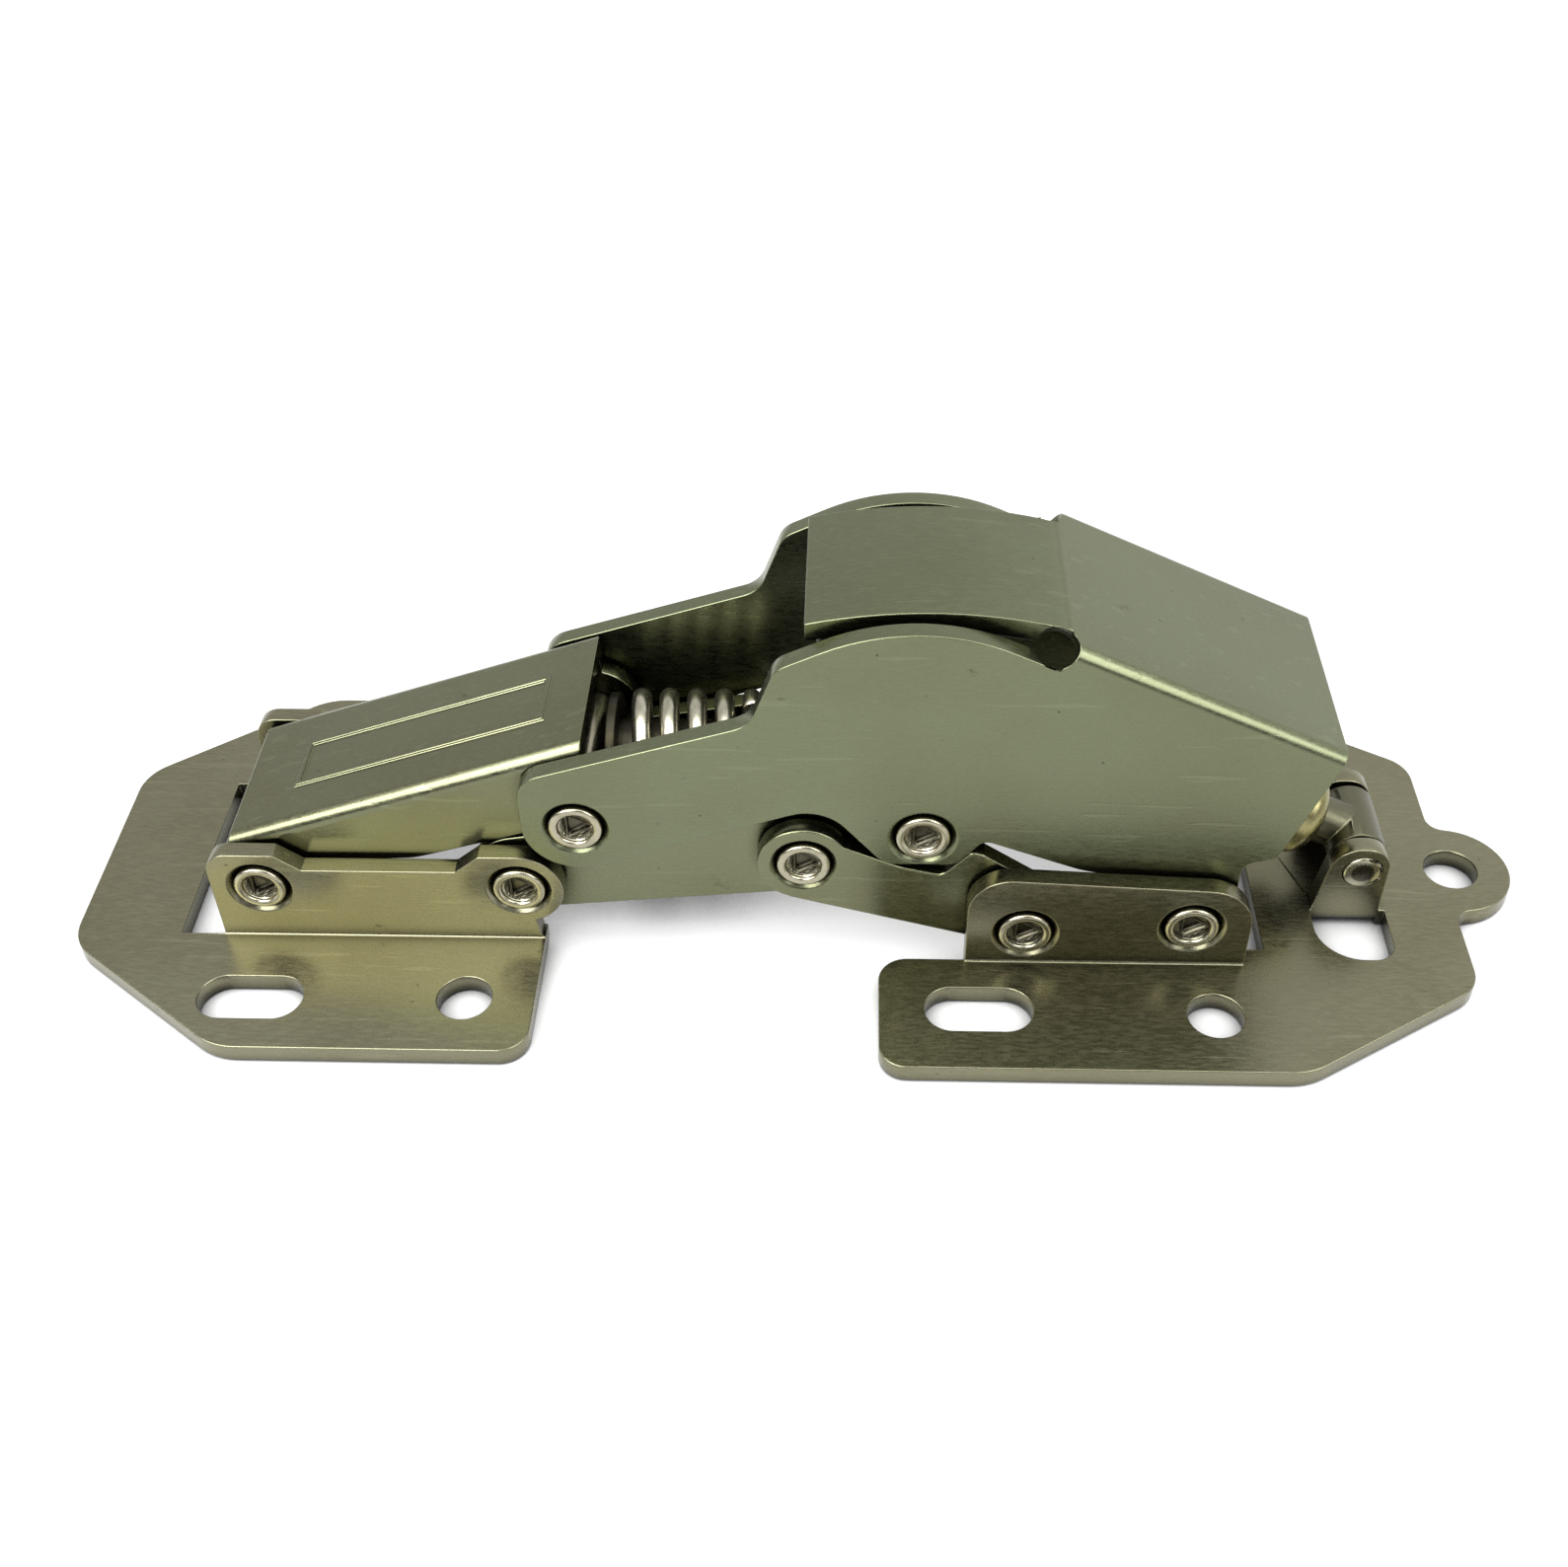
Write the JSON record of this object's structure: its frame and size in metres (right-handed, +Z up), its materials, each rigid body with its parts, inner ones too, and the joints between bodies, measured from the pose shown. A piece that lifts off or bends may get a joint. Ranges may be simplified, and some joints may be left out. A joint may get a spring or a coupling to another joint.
{
  "type": "soft-close cabinet hinge",
  "caption": "Face-fixed linkage hinge with two flat slotted plates, riveted folded-steel links, an arched arm, a coil spring and a damper that slows the door as it shuts.",
  "frame": {"origin": "middle of the overall length and width, on the underside of the two plates", "axes": "+X from the cabinet plate to the door plate, +Y away from the viewer across the hinge, +Z up from the plates"},
  "size_m": [0.1134, 0.042, 0.0315],
  "materials": {
    "plate": "nickel-plated folded sheet, warm satin with fine scratches",
    "link": "nickel-plated folded sheet, satin",
    "arm": "nickel-plated folded sheet, satin with fine pits",
    "rivet": "bright nickel",
    "spring": "polished plated wire",
    "damper": "drawn, satin",
    "eye": "turned, satin",
    "plastic": "moulded, matt"
  },
  "bodies": {
    "cabinet": {"cabinet_plate": "plate", "cover_root_rivet": "rivet", "lower_root_rivet": "rivet"},
    "cover": {"cover_link": "link"},
    "arm": {"main_arm": "arm", "cover_arm_rivet": "rivet", "lower_arm_rivet": "rivet", "damper_socket": "plastic"},
    "lower": {"lower_link": "link"},
    "short": {"short_link_near": "link", "short_link_far": "link", "short_lower_rivet": "rivet"},
    "door": {"door_plate": "plate", "short_door_rivet_near": "rivet", "short_door_rivet_far": "rivet", "arm_door_rivet_near": "rivet", "arm_door_rivet_far": "rivet", "damper_pin": "rivet"},
    "spring": {"spring_seat": "rivet", "spring_rod": "spring", "coil_spring": "spring"},
    "damper": {"damper_eye": "eye", "damper_cylinder": "damper", "damper_cap": "damper"},
    "plunger": {"damper_rod": "rivet", "damper_piston": "plastic", "damper_tip": "plastic"}
  },
  "joints": [
    {"name": "cover_swing", "type": "hinge", "parent": "cabinet", "child": "cover", "pos_m": [-0.04105, 0, 0.0066], "axis": [0, -1, 0], "range_deg": [0, 112]},
    {"name": "arm_swing", "type": "hinge", "parent": "cover", "child": "arm", "pos_m": [-0.01615, 0, 0.0132], "axis": [0, -1, 0], "range_deg": [-92, 0]},
    {"name": "lower_swing", "type": "hinge", "parent": "arm", "child": "lower", "pos_m": [0.00945, 0, 0.0126], "axis": [0, -1, 0], "range_deg": [0, 82.21]},
    {"name": "short_swing", "type": "hinge", "parent": "lower", "child": "short", "pos_m": [0.00065, 0, 0.0097], "axis": [0, -1, 0], "range_deg": [-98.34, 0]},
    {"name": "door_swing", "type": "hinge", "parent": "arm", "child": "door", "pos_m": [0.02975, 0, 0.0053], "axis": [0, -1, 0], "range_deg": [0, 70]},
    {"name": "spring_slide", "type": "slide", "parent": "arm", "child": "spring", "axis": [1, 0, 0], "range_m": [0, 0.0086]},
    {"name": "damper_swing", "type": "hinge", "parent": "door", "child": "damper", "pos_m": [0.04345, 0, 0.0057], "axis": [0, -1, 0], "range_deg": [-55.01, 0]},
    {"name": "rod_slide", "type": "slide", "parent": "damper", "child": "plunger", "axis": [0.8944, 0, -0.4473], "range_m": [0, 0.01311]}
  ],
  "couplings": [
    {"joint": "arm_swing", "follows": "cover_swing", "ratio": -0.82143},
    {"joint": "lower_swing", "follows": "cover_swing", "ratio": 0.734},
    {"joint": "short_swing", "follows": "cover_swing", "ratio": -0.878},
    {"joint": "door_swing", "follows": "cover_swing", "ratio": 0.625},
    {"joint": "spring_slide", "follows": "cover_swing", "m_per_rad": 0.0043995},
    {"joint": "damper_swing", "follows": "cover_swing", "ratio": -0.49113},
    {"joint": "rod_slide", "follows": "cover_swing", "m_per_rad": 0.006705}
  ]
}
